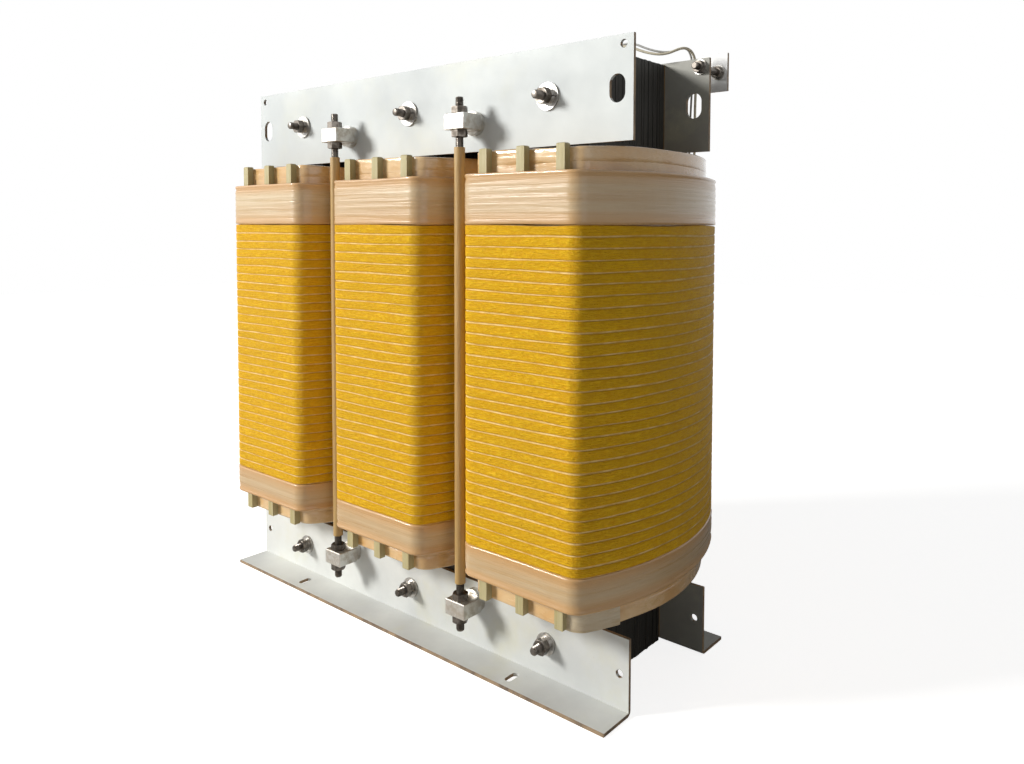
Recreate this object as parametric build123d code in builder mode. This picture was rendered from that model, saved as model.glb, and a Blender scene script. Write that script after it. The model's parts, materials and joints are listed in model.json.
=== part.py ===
from build123d import *
import math
import os

os.makedirs("parts", exist_ok=True)

# Three-phase dry type transformer: a three-limb laminated core held between steel
# clamps, three wound phases with air ducts, and four vertical tie rods.
# Millimetres. X runs along the yokes, Y from front to rear, Z up from the floor.

# Core
limb_pitch = 238.0
limb_width = 88.0
stack_depth = 155.0
yoke_height = 102.0
window_height = 514.0

# Clamps and the insulating strips between them and the yokes
clamp_length = 684.0
sheet = 4.0
strip_thickness = 2.0
strip_inset = 4.0
top_clamp_height = 110.0
top_clamp_rise = 2.0
leg_height = 84.0
foot_width = 50.0
fold_radius = 6.0
bolt_pitch = 230.0
top_bolt_drop = 55.0
bottom_bolt_height = 43.0
bolt_hole = 11.0
lift_slot_width = 20.0
lift_slot_height = 30.0
lift_slot_inset = 20.0
corner_hole = 9.0
corner_hole_inset = 12.0
corner_hole_drop = 10.0
foot_slot_x = 200.0
foot_slot_width = 9.0
foot_slot_length = 20.0
foot_slot_reach = 26.0

# Yoke studs and their hardware
stud_diameter = 10.0
stud_reach = 25.0
nut_flats = 17.0
nut_height = 8.4
thread_clearance = 0.1
top_washer_diameter = 31.0
bottom_washer_diameter = 26.0
washer_thickness = 2.5
spring_diameter = 18.0
spring_thickness = 2.6
spring_slit = 1.6
sleeve_wall = 1.8
sleeve_clearance = 0.3

# Tie rods, their insulating tubes and the lugs that hold them
rod_reach = 28.0
rod_diameter = 10.0
rod_tail = 11.0
tube_diameter = 13.0
tube_clearance = 0.3
tube_end_gap = 12.0
lug_width = 32.0
lug_depth = 30.0
lug_height = 19.0
lug_front_wall = 10.0
lug_boss_diameter = 29.0
lug_chamfer = 0.8
upper_lug_drop = 77.0
lower_lug_height = 62.5
rod_hole = 11.0

# Windings
former_wall = 2.5
former_clearance = 1.0
former_gap = 2.0
winding_bulge = 37.0
lv_half_width = 109.7
lv_half_depth = 132.0
lv_corner = 18.0
lv_top_gap = 14.0
duct = 9.0
side_clearance = 0.3
hv_thickness = 6.0
hv_corner = 20.0
hv_bottom_gap = 22.0
hv_top_gap = 37.0
bottom_collar_height = 37.5
top_collar_height = 56.5
turn_count = 30
turn_crown = 0.8
collar_proud = 0.6
collar_round = 3.0
stick_width = 11.0
stick_spacing = 54.0
stick_overrun = 2.0
stick_top_gap = 10.0
stick_chamfer = 1.0

# Rear corner brackets
bracket_width = 40.0
bracket_height = 46.0
bracket_sheet = 4.0
bracket_stand_off = 42.0
bracket_inner_reach = 28.0
bracket_bolt = 8.0
bracket_hole = 8.4
bracket_nut_flats = 13.0
bracket_nut_height = 6.5
bracket_washer = 18.0
bracket_washer_thickness = 1.8
bracket_tail = 7.0

# Sensor leads and the gland they leave
gland_place = (224.0, 49.5)
gland_diameter = 16.0
gland_height = 5.0
lead_diameters = {"cream": 3.2, "grey": 2.6}

# Derived sizes
core_height = window_height + 2 * yoke_height
core_half = limb_pitch + limb_width / 2
window_bottom = yoke_height
window_top = yoke_height + window_height
lv_bottom = window_bottom
lv_top = window_top - lv_top_gap
hv_bottom = window_bottom + hv_bottom_gap
hv_top = window_top - hv_top_gap
turns_bottom = hv_bottom + bottom_collar_height
turns_top = hv_top - top_collar_height
stick_bottom = window_bottom - stick_overrun
stick_top = window_top - stick_top_gap
clamp_inner = stack_depth / 2 + strip_thickness
clamp_outer = clamp_inner + sheet
clamp_top = core_height + top_clamp_rise
clamp_bottom = clamp_top - top_clamp_height
top_bolt_z = clamp_top - top_bolt_drop
lift_x = clamp_length / 2 - lift_slot_inset
corner_x = clamp_length / 2 - corner_hole_inset
corner_z = clamp_top - corner_hole_drop
rod_x = limb_pitch / 2
rod_y = clamp_outer + rod_reach
upper_lug_z = clamp_top - upper_lug_drop
phases = {"left": -limb_pitch, "centre": 0.0, "right": limb_pitch}
bolt_xs = (-bolt_pitch, 0.0, bolt_pitch)


def save(piece, name):
    """Label a finished piece and write it as its own STEP file."""
    piece.label = name
    export_step(piece, f"parts/{name}.step")


def group(solids, name):
    """Write several separate, identical solids as one node."""
    save(Compound(children=list(solids)), name)


def rounded_sheet_hole(width, height):
    """A slot with round ends, upright in its sketch."""
    SlotOverall(height, width, rotation=90, mode=Mode.SUBTRACT)


# ---------------------------------------------------------------- core
def core_block(width, height, x, z):
    """One stack of laminations, standing with its lower face at z."""
    with BuildPart() as block:
        with BuildSketch(Plane.XY.offset(z)):
            with Locations((x, 0)):
                Rectangle(width, stack_depth)
        extrude(amount=height)
    return block


for name, x in phases.items():
    limb = core_block(limb_width, window_height, x, window_bottom)
    save(limb.part, f"core_limb_{name}")

sleeve_outer = stud_diameter + 2 * (sleeve_clearance + sleeve_wall)
yoke_hole = sleeve_outer + 2 * sleeve_clearance

for name, z, bolt_z in (("bottom", 0.0, bottom_bolt_height), ("top", window_top, top_bolt_z)):
    with BuildPart() as yoke:
        with BuildSketch(Plane.XZ.offset(-stack_depth / 2)):
            with Locations((0, z + yoke_height / 2)):
                Rectangle(2 * core_half, yoke_height)
            with Locations([(x, bolt_z) for x in bolt_xs]):
                Circle(yoke_hole / 2, mode=Mode.SUBTRACT)
        extrude(amount=stack_depth)
    save(yoke.part, f"core_{name}_yoke")

# ---------------------------------------------------------------- strips and clamps
# Each face of the frame has its own sketch plane, seen from outside, with its
# normal pointing away from the core.
front = Plane(origin=(0, 0, 0), x_dir=(1, 0, 0), z_dir=(0, -1, 0))
rear = Plane(origin=(0, 0, 0), x_dir=(-1, 0, 0), z_dir=(0, 1, 0))
sides = {"front": front, "rear": rear}

strips = {"bottom": (strip_inset, leg_height, bottom_bolt_height), "top": (clamp_bottom, core_height, top_bolt_z)}
for side, plane in sides.items():
    for level, (low, high, bolt_z) in strips.items():
        with BuildPart() as strip:
            with BuildSketch(plane.offset(stack_depth / 2)):
                with Locations((0, (low + high) / 2)):
                    Rectangle(2 * core_half, high - low)
                with Locations([(x, bolt_z) for x in bolt_xs]):
                    Circle(bolt_hole / 2, mode=Mode.SUBTRACT)
            extrude(amount=strip_thickness)
        save(strip.part, f"{level}_strip_{side}")

# The rear corner holes carry the bracket studs, so they are drilled to fit those.
corner_bores = {"front": corner_hole, "rear": bracket_hole}
for side, plane in sides.items():
    with BuildPart() as top_clamp:
        with BuildSketch(plane.offset(clamp_inner)):
            with Locations((0, (clamp_bottom + clamp_top) / 2)):
                Rectangle(clamp_length, top_clamp_height)
            with Locations([(x, top_bolt_z) for x in bolt_xs]):
                Circle(bolt_hole / 2, mode=Mode.SUBTRACT)
            with Locations((-lift_x, top_bolt_z), (lift_x, top_bolt_z)):
                rounded_sheet_hole(lift_slot_width, lift_slot_height)
            with Locations((-corner_x, corner_z), (corner_x, corner_z)):
                Circle(corner_bores[side] / 2, mode=Mode.SUBTRACT)
        extrude(amount=sheet)
    save(top_clamp.part, f"top_clamp_{side}")

signs = {"front": -1, "rear": 1}
for side, plane in sides.items():
    sign = signs[side]
    with BuildPart() as bottom_clamp:
        with BuildSketch(Plane.YZ.offset(-clamp_length / 2)):
            with BuildLine():
                Polyline(
                    (sign * clamp_inner, leg_height),
                    (sign * clamp_inner, 0),
                    (sign * (clamp_inner + foot_width), 0),
                    (sign * (clamp_inner + foot_width), sheet),
                    (sign * clamp_outer, sheet),
                    (sign * clamp_outer, leg_height),
                    close=True,
                )
            face = make_face()
            outer_corner = face.vertices().sort_by_distance((sign * clamp_inner, 0))[0]
            fillet(outer_corner, fold_radius)
            inner_corner = face.vertices().sort_by_distance((sign * clamp_outer, sheet))[0]
            fillet(inner_corner, fold_radius - sheet)
        extrude(amount=clamp_length)
        with BuildSketch(plane.offset(clamp_inner)):
            with Locations([(x, bottom_bolt_height) for x in bolt_xs]):
                Circle(bolt_hole / 2)
            with Locations((-corner_x, bottom_bolt_height), (corner_x, bottom_bolt_height)):
                Circle(corner_hole / 2)
        extrude(amount=sheet, mode=Mode.SUBTRACT)
        with BuildSketch(Plane.XY):
            with Locations([(x, sign * (clamp_outer + foot_slot_reach)) for x in (-foot_slot_x, foot_slot_x)]):
                SlotOverall(foot_slot_length, foot_slot_width, rotation=90)
        extrude(amount=sheet, mode=Mode.SUBTRACT)
    save(bottom_clamp.part, f"bottom_clamp_{side}")

# ---------------------------------------------------------------- yoke studs
stud_half = clamp_outer + stud_reach
bolt_rows = {"bottom": (bottom_bolt_height, bottom_washer_diameter), "top": (top_bolt_z, top_washer_diameter)}
stack = {
    "washer": clamp_outer,
    "spring": clamp_outer + washer_thickness,
    "nut": clamp_outer + washer_thickness + spring_thickness,
}


def along_y(solid, x, y, z, sign):
    """Seat a piece modelled on z = 0 at y, turned to stand out towards -Y or +Y."""
    return solid.moved(Location((x, y, z), (-90 * sign, 0, 0)))


with BuildPart() as stud:
    Cylinder(stud_diameter / 2, 2 * stud_half)
    chamfer(stud.edges().filter_by(GeomType.CIRCLE), stud_diameter / 10)

with BuildPart() as sleeve:
    Cylinder(sleeve_outer / 2, stack_depth)
    Cylinder(sleeve_outer / 2 - sleeve_wall, stack_depth, mode=Mode.SUBTRACT)


def hex_nut(bore, flats, height):
    """A plain hexagon nut standing on z = 0, its outer corners turned off at both ends."""
    with BuildPart() as nut:
        with BuildSketch():
            RegularPolygon(flats / 2, 6, major_radius=False)
            Circle(bore / 2 + thread_clearance, mode=Mode.SUBTRACT)
        extrude(amount=height)
        with BuildSketch(Plane.XZ):
            with BuildLine():
                corner = flats / math.sqrt(3)
                fall = (corner - flats / 2) * math.tan(math.radians(30))
                Polyline(
                    (0, 0), (flats / 2, 0), (corner, fall), (corner, height - fall),
                    (flats / 2, height), (0, height), close=True,
                )
            make_face()
        revolve(axis=Axis.Z, mode=Mode.INTERSECT)
    return nut.part


def flat_washer(diameter, bore, thickness):
    """A flat washer standing on z = 0."""
    with BuildPart() as washer:
        with BuildSketch():
            Circle(diameter / 2)
            Circle(bore / 2 + thread_clearance, mode=Mode.SUBTRACT)
        extrude(amount=thickness)
    return washer.part


with BuildPart() as spring_washer:
    with BuildSketch():
        Circle(spring_diameter / 2)
        Circle(stud_diameter / 2 + thread_clearance, mode=Mode.SUBTRACT)
    extrude(amount=spring_thickness)
    with Locations(Location((spring_diameter / 2, 0, spring_thickness / 2), (25, 0, 0))):
        Box(spring_diameter / 2, spring_slit, 3 * spring_thickness, mode=Mode.SUBTRACT)

nut = hex_nut(stud_diameter, nut_flats, nut_height)
studs, sleeves, springs, nuts = [], [], [], []
for level, (bolt_z, washer_diameter) in bolt_rows.items():
    washer = flat_washer(washer_diameter, stud_diameter, washer_thickness)
    washers = []
    level_studs = []
    for x in bolt_xs:
        level_studs.append(stud.part.moved(Location((x, 0, bolt_z), (90, 0, 0))))
        sleeves.append(sleeve.part.moved(Location((x, 0, bolt_z), (90, 0, 0))))
        for sign in signs.values():
            washers.append(along_y(washer, x, sign * stack["washer"], bolt_z, sign))
            springs.append(along_y(spring_washer.part, x, sign * stack["spring"], bolt_z, sign))
            nuts.append(along_y(nut, x, sign * stack["nut"], bolt_z, sign))
    group(level_studs, f"{level}_yoke_studs")
    group(washers, f"{level}_flat_washers")
group(sleeves, "stud_sleeves")
group(springs, "spring_washers")
group(nuts, "yoke_nuts")

# ---------------------------------------------------------------- tie rods
nut_gap = lug_height / 2 + nut_height
rod_bottom = lower_lug_height - nut_gap - rod_tail
rod_top = upper_lug_z + nut_gap + rod_tail
tube_bottom = lower_lug_height + nut_gap + tube_end_gap
tube_top = upper_lug_z - nut_gap - tube_end_gap
corners = {
    "front_left": (-rod_x, -rod_y),
    "front_right": (rod_x, -rod_y),
    "rear_left": (-rod_x, rod_y),
    "rear_right": (rod_x, rod_y),
}

for name, (x, y) in corners.items():
    with BuildPart() as rod:
        with BuildSketch(Plane.XY.offset(rod_bottom)):
            with Locations((x, y)):
                Circle(rod_diameter / 2)
        extrude(amount=rod_top - rod_bottom)
        chamfer(rod.edges().filter_by(GeomType.CIRCLE), rod_diameter / 10)
    save(rod.part, f"tie_rod_{name}")
    with BuildPart() as tube:
        with BuildSketch(Plane.XY.offset(tube_bottom)):
            with Locations((x, y)):
                Circle(tube_diameter / 2)
                Circle(rod_diameter / 2 + tube_clearance, mode=Mode.SUBTRACT)
        extrude(amount=tube_top - tube_bottom)
    save(tube.part, f"tie_rod_tube_{name}")

boss_length = rod_reach - (lug_depth - lug_front_wall)
lug_back = clamp_outer + boss_length
with BuildPart() as lug:
    with BuildSketch(front.offset(lug_back)):
        Rectangle(lug_width, lug_height)
    extrude(amount=lug_depth)
    chamfer(lug.edges(), lug_chamfer)
    with BuildSketch(front.offset(clamp_outer)):
        Circle(lug_boss_diameter / 2)
    extrude(amount=boss_length)
    with BuildSketch(Plane.XY.offset(-lug_height)):
        with Locations((0, -rod_y)):
            Circle(rod_hole / 2)
    extrude(amount=2 * lug_height, mode=Mode.SUBTRACT)

for level, z in (("upper", upper_lug_z), ("lower", lower_lug_height)):
    lugs = []
    for x, y in corners.values():
        turn = 0 if y < 0 else 180
        lugs.append(lug.part.moved(Location((x, 0, z), (0, 0, turn))))
    group(lugs, f"{level}_rod_lugs")

rod_nuts = []
rod_nut = hex_nut(rod_diameter, nut_flats, nut_height)
for x, y in corners.values():
    for z in (lower_lug_height, upper_lug_z):
        rod_nuts.append(rod_nut.moved(Location((x, y, z + lug_height / 2))))
        rod_nuts.append(rod_nut.moved(Location((x, y, z - lug_height / 2 - nut_height))))
group(rod_nuts, "tie_rod_nuts")

# ---------------------------------------------------------------- windings
hv_half_width = lv_half_width + side_clearance + hv_thickness
hv_half_depth = lv_half_depth + duct + hv_thickness


def winding_outline(half_width, half_depth, corner):
    """Rounded outline, flat at front and rear, whose two long sides bow outwards."""
    with BuildSketch() as outline:
        with BuildLine():
            edge_x = half_width - winding_bulge
            Line((-edge_x, -half_depth), (edge_x, -half_depth))
            ThreePointArc((edge_x, -half_depth), (half_width, 0), (edge_x, half_depth))
            Line((edge_x, half_depth), (-edge_x, half_depth))
            ThreePointArc((-edge_x, half_depth), (-half_width, 0), (-edge_x, -half_depth))
        make_face()
        fillet(outline.vertices(), corner)
    return outline


# The feature that carries the look: thirty crowned turns one above the other, each a
# pair of tapered rings that meet at the turn's widest line.
pitch = (turns_top - turns_bottom) / turn_count
taper = math.degrees(math.atan(turn_crown / (pitch / 2)))
outer = winding_outline(hv_half_width, hv_half_depth, hv_corner)
inner = winding_outline(hv_half_width - hv_thickness, hv_half_depth - hv_thickness, hv_corner - hv_thickness)

with BuildPart() as one_turn:
    with BuildSketch(Plane.XY.offset(pitch / 2)):
        add(outer.sketch)
    extrude(amount=pitch / 2, taper=taper)
    with BuildSketch(Plane.XY.offset(pitch / 2)):
        add(outer.sketch)
    extrude(amount=-pitch / 2, taper=taper)

with BuildPart() as hv_winding:
    with Locations([(0, 0, turns_bottom + k * pitch) for k in range(turn_count)]):
        add(one_turn.part)
    with BuildSketch(Plane.XY.offset(turns_bottom)):
        add(inner.sketch)
    extrude(amount=turns_top - turns_bottom, mode=Mode.SUBTRACT)

collar_outline = winding_outline(hv_half_width + collar_proud, hv_half_depth + collar_proud, hv_corner + collar_proud)
collars = {"bottom": (hv_bottom, turns_bottom), "top": (turns_top, hv_top)}
collar_parts = {}
for level, (low, high) in collars.items():
    with BuildPart() as collar:
        with BuildSketch(Plane.XY.offset(low)):
            add(collar_outline.sketch)
        extrude(amount=high - low)
        rim = collar.faces().sort_by(Axis.Z)[-1 if level == "top" else 0]
        fillet(rim.edges(), collar_round)
        with BuildSketch(Plane.XY.offset(low)):
            add(inner.sketch)
        extrude(amount=high - low, mode=Mode.SUBTRACT)
    collar_parts[level] = collar.part

former_half_width = limb_width / 2 + former_clearance + former_wall
former_half_depth = clamp_outer + former_gap
lv_outline = winding_outline(lv_half_width, lv_half_depth, lv_corner)
with BuildPart() as former:
    with BuildSketch(Plane.XY.offset(lv_bottom)):
        Rectangle(2 * former_half_width, 2 * former_half_depth)
        Rectangle(2 * (former_half_width - former_wall), 2 * (former_half_depth - former_wall), mode=Mode.SUBTRACT)
    extrude(amount=lv_top - lv_bottom)

with BuildPart() as lv_winding:
    with BuildSketch(Plane.XY.offset(lv_bottom)):
        add(lv_outline.sketch)
    extrude(amount=lv_top - lv_bottom)
    ends = lv_winding.faces().filter_by(Axis.Z)
    fillet(ends.edges(), collar_round / 2)
    with BuildSketch(Plane.XY.offset(lv_bottom)):
        Rectangle(2 * former_half_width, 2 * former_half_depth)
    extrude(amount=lv_top - lv_bottom, mode=Mode.SUBTRACT)

with BuildPart() as stick:
    with BuildSketch(Plane.XY.offset(stick_bottom)):
        with Locations((0, -lv_half_depth - duct / 2)):
            Rectangle(stick_width, duct)
    extrude(amount=stick_top - stick_bottom)
    chamfer(stick.faces().filter_by(Axis.Z).edges(), stick_chamfer)

for name, x in phases.items():
    place = Location((x, 0, 0))
    save(former.part.moved(place), f"former_{name}")
    save(lv_winding.part.moved(place), f"lv_winding_{name}")
    save(hv_winding.part.moved(place), f"hv_winding_{name}")
    for level, piece in collar_parts.items():
        save(piece.moved(place), f"hv_collar_{level}_{name}")
    sticks = []
    for stick_x in (x - stick_spacing, x, x + stick_spacing):
        for turn in (0, 180):
            sticks.append(stick.part.moved(Location((stick_x, 0, 0), (0, 0, turn))))
    group(sticks, f"duct_sticks_{name}")

# ---------------------------------------------------------------- rear corner brackets
bracket_y = clamp_outer + bracket_stand_off
bracket_shift = bracket_width / 2 - bracket_inner_reach
bolts, bracket_nuts, bracket_washers = [], [], []
small_nut = hex_nut(bracket_bolt, bracket_nut_flats, bracket_nut_height)
small_washer = flat_washer(bracket_washer, bracket_bolt, bracket_washer_thickness)
hardware = bracket_washer_thickness + bracket_nut_height
bolt_start = clamp_inner - hardware - bracket_tail
bolt_end = bracket_y + bracket_sheet + hardware + bracket_tail
seats = ((clamp_inner, -1), (clamp_outer, 1), (bracket_y, -1), (bracket_y + bracket_sheet, 1))
with BuildPart() as bracket_stud:
    with BuildSketch(Plane.XZ.offset(-bolt_end)):
        with Locations((0, corner_z)):
            Circle(bracket_bolt / 2)
    extrude(amount=bolt_end - bolt_start)
    chamfer(bracket_stud.edges().filter_by(GeomType.CIRCLE), bracket_bolt / 10)

for name, sign in (("left", -1), ("right", 1)):
    with BuildPart() as plate:
        with BuildSketch(rear.offset(bracket_y)):
            with Locations((-sign * (corner_x + bracket_shift), corner_z)):
                Rectangle(bracket_width, bracket_height)
            with Locations((-sign * corner_x, corner_z)):
                Circle(bracket_hole / 2, mode=Mode.SUBTRACT)
        extrude(amount=bracket_sheet)
    save(plate.part, f"rear_bracket_{name}")
    bolts.append(bracket_stud.part.moved(Location((sign * corner_x, 0, 0))))
    for y, facing in seats:
        bracket_washers.append(along_y(small_washer, sign * corner_x, y, corner_z, facing))
        nut_seat = y + facing * bracket_washer_thickness
        bracket_nuts.append(along_y(small_nut, sign * corner_x, nut_seat, corner_z, facing))
group(bolts, "bracket_studs")
group(bracket_washers, "bracket_washers")
group(bracket_nuts, "bracket_nuts")

# ---------------------------------------------------------------- sensor leads
gland_top = core_height + gland_height
with BuildPart() as gland:
    with BuildSketch(Plane.XY.offset(core_height)):
        with Locations(gland_place):
            Circle(gland_diameter / 2)
    extrude(amount=gland_height)
    fillet(gland.faces().sort_by(Axis.Z)[-1].edges(), 1.0)
save(gland.part, "sensor_gland")

# Each lead rises from the gland, passes over the rear clamp and drops behind it to the
# rear rim of the right-hand winding.
lead_routes = {
    "cream": [
        (224, 46, gland_top), (224, 46, 739), (246, 50, 742), (268, 56, 731), (290, 66, 727),
        (306, 82, 738), (312, 97, 732), (311, 106, 708), (306, 112, 682), (299, 124, 652),
        (292, 138, 624), (287, 144, 600), (287, 144, hv_top),
    ],
    "grey": [
        (224, 53, gland_top), (224, 53, 743), (247, 58, 747), (270, 65, 735), (291, 76, 731),
        (303, 92, 740), (305, 104, 730), (302, 112, 704), (297, 118, 676), (290, 128, 647),
        (284, 139, 620), (279, 144, 597), (279, 144, hv_top),
    ],
}


def corner_radii(points):
    """The largest bend radius that each corner's two runs have room for."""
    radii = []
    for before, here, after in zip(points, points[1:], points[2:]):
        run_in = Vector(here) - Vector(before)
        run_out = Vector(after) - Vector(here)
        half_turn = math.radians(run_in.get_angle(run_out) / 2)
        shorter = min(run_in.length, run_out.length)
        radii.append(0.45 * shorter / math.tan(half_turn))
    return radii


for colour, points in lead_routes.items():
    radii = corner_radii(points)
    print(colour, "lead bend radii", [round(r, 1) for r in radii])
    with BuildPart() as lead:
        with BuildLine() as route:
            FilletPolyline(*points, radius=radii)
        path = route.wires()[0]
        with BuildSketch(Plane(origin=path @ 0, z_dir=path % 0)):
            Circle(lead_diameters[colour] / 2)
        sweep(path=path)
    length = path.length
    ideal = math.pi * lead_diameters[colour] ** 2 / 4 * length
    print(colour, "lead length", round(length, 1), "volume ratio", round(lead.part.volume / ideal, 4))
    save(lead.part, f"sensor_lead_{colour}")
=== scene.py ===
# %% [markdown]
# # Finishing a three-phase dry type transformer
# The construction model arrives as a fixed frame: a laminated core, folded clamps, three
# wound phases, tie rods and hardware, each as its own mesh at its real place. This lesson
# gives every one of them its finish and adds what a maker sees up close: the wrapped turns
# of the windings, rolled threads, stacked sheets, taped ends and two thin sensor leads.

import json
import math
import random

import bmesh
import bpy
from mathutils import Matrix, Vector, noise


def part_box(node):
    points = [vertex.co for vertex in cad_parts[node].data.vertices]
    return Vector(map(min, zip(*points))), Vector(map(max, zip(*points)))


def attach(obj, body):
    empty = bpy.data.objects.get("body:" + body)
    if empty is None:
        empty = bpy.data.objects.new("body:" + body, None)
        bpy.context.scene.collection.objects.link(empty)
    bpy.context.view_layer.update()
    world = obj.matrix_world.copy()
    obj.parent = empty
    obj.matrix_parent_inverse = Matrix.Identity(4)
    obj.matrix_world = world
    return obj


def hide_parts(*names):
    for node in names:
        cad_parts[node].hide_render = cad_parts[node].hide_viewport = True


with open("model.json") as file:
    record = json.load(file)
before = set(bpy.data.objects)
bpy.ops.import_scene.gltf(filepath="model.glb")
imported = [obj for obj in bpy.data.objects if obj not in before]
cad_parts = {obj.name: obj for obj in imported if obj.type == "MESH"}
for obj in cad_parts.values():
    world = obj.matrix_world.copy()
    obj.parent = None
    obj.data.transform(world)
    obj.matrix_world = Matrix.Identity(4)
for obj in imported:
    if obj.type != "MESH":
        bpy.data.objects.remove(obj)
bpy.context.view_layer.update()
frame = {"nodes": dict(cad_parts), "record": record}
scene = bpy.context.scene
nodes = frame["nodes"]
print("pieces in the frame:", len(nodes))

# %% [markdown]
# ## Camera
# A large object is usually shown from a little right of the front, at about the height of
# its upper third. A lens near 29 mm keeps the strong convergence of a close view. A small
# shift moves the object within the frame, where a tilt would make the uprights lean.

# %% Camera
camera_place = (0.8056, -0.7998, 0.5215)
camera_right = Vector((0.7731, 0.6342, 0.0030))
camera_look = Vector((-0.6335, 0.7724, -0.0457))
camera_up = camera_right.cross(camera_look)
camera_turn = Matrix((camera_right, camera_up, -camera_look)).transposed()

camera_data = bpy.data.cameras.new("camera")
camera_data.sensor_width = 36.0
camera_data.lens = 28.81
camera_data.shift_x = -0.027
camera_data.shift_y = -0.116
camera_data.clip_start = 0.05
camera = bpy.data.objects.new("camera", camera_data)
camera.matrix_world = Matrix.Translation(camera_place) @ camera_turn.to_4x4()
scene.collection.objects.link(camera)
scene.camera = camera
print("lens", camera_data.lens, "mm")

# %% [markdown]
# ## Sensor leads
# Two thin leads rise from a grommet on the top yoke, pass over the rear clamp and drop
# behind it to the right-hand winding. A lead is a fixed length of something limp, so each
# is one smooth spline through the route's points, and not a chain of straight runs. The
# bevel is one metre deep at a point radius of 1, so a point's radius is the lead's own.

# %% Sensor leads
lead_routes = {
    "cream": (0.0032, 0.288, [
        (0.224, 0.046, 0.723), (0.224, 0.046, 0.739), (0.246, 0.050, 0.742),
        (0.268, 0.056, 0.731), (0.290, 0.066, 0.727), (0.306, 0.082, 0.738),
        (0.312, 0.097, 0.732), (0.311, 0.106, 0.708), (0.306, 0.112, 0.682),
        (0.299, 0.124, 0.652), (0.292, 0.138, 0.624), (0.287, 0.144, 0.600),
        (0.287, 0.144, 0.579),
    ]),
    "grey": (0.0026, 0.285, [
        (0.224, 0.053, 0.723), (0.224, 0.053, 0.743), (0.247, 0.058, 0.747),
        (0.270, 0.065, 0.735), (0.291, 0.076, 0.731), (0.303, 0.092, 0.740),
        (0.305, 0.104, 0.730), (0.302, 0.112, 0.704), (0.297, 0.118, 0.676),
        (0.290, 0.128, 0.647), (0.284, 0.139, 0.620), (0.279, 0.144, 0.597),
        (0.279, 0.144, 0.579),
    ]),
}
leads = {}
for tint, (diameter, length, points) in lead_routes.items():
    curve = bpy.data.curves.new(f"lead_{tint}", "CURVE")
    curve.dimensions = "3D"
    curve.bevel_depth = 1.0
    curve.bevel_resolution = 4
    curve.use_fill_caps = True
    spline = curve.splines.new("NURBS")
    spline.points.add(len(points) - 1)
    for control, place in zip(spline.points, points):
        control.co = (*place, 1.0)
        control.radius = diameter / 2
    spline.order_u = 3
    spline.use_endpoint_u = True
    spline.resolution_u = 8
    lead = bpy.data.objects.new(f"lead_{tint}", curve)
    scene.collection.objects.link(lead)
    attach(lead, "root")
    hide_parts(f"sensor_lead_{tint}")
    leads[tint] = lead
print("leads:", list(leads))

# %% [markdown]
# ## Outline of a winding
# Seen from above, every phase has the same outline: flat at front and back, tightly rounded
# at four corners, and bowed at both sides. The outline could be drawn as a curve, but each
# place on it also needs its outward direction, so that tape can be laid on or drawn in.
# One quarter is worked out from its arcs, and the other three mirror it.

# %% Outline of a winding
side_bulge = 0.037
outer_corner = 0.020
inner_corner = 0.018
corner_closeness = 1.5


def outline_points(half_width, half_depth, corner, spacing):
    """Places round the outline, each with its outward direction."""
    radius = (half_depth**2 + side_bulge**2) / (2 * side_bulge)
    centre_x = half_width - radius
    fillet_y = half_depth - corner
    fillet_x = centre_x + math.sqrt((radius - corner) ** 2 - fillet_y**2)
    tip = math.atan2(fillet_y, fillet_x - centre_x)
    flat_steps = round(fillet_x / spacing)
    corner_steps = round(corner * (math.pi / 2 - tip) / spacing * corner_closeness)
    side_steps = round(radius * tip / spacing)
    quarter = [(fillet_x * k / flat_steps, half_depth, 0.0, 1.0) for k in range(flat_steps)]
    for k in range(corner_steps):
        angle = math.pi / 2 + (tip - math.pi / 2) * k / corner_steps
        a, b = math.cos(angle), math.sin(angle)
        quarter.append((fillet_x + corner * a, fillet_y + corner * b, a, b))
    for k in range(side_steps + 1):
        angle = tip * (1 - k / side_steps)
        a, b = math.cos(angle), math.sin(angle)
        quarter.append((centre_x + radius * a, radius * b, a, b))
    right = quarter + [(x, -y, a, -b) for x, y, a, b in quarter[-2::-1]]
    left = [(-x, y, -a, b) for x, y, a, b in right[-2:0:-1]]
    return right + left


def plan_of(box):
    """Half width, half depth and middle X of a box given by two corners."""
    low, high = box
    return (high[0] - low[0]) / 2, (high[1] - low[1]) / 2, (low[0] + high[0]) / 2


sample_width, sample_depth, _ = plan_of(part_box("hv_winding_centre"))
sample = outline_points(sample_width, sample_depth, outer_corner, 0.005)
print("places round a winding:", len(sample))

# %% [markdown]
# ## Wrapping a sheet
# Turns, collars and lips are all tape that goes round and round, so one helper makes them.
# A flat grid is wrapped round the outline, and a profile says how far each row of it is
# drawn in. Turns, laps and rims are then real shape that shows at the silhouette. The
# sheet's own UV map keeps the distance round and the turn number, so a finish can follow
# the tape. A little noise moves the rows up and down, as no hand winds quite level.

# %% Wrapping a sheet
grain_scale = 380.0
waver_scale = 11.0
waver_per_turn = 1.7
seam_gap = 1e-6


def finished_piece(name, form):
    """Make a bmesh an object at the origin, which rides on the frame's one body."""
    mesh = bpy.data.meshes.new(name)
    form.to_mesh(mesh)
    form.free()
    piece = bpy.data.objects.new(name, mesh)
    scene.collection.objects.link(piece)
    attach(piece, "root")
    return piece


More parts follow.
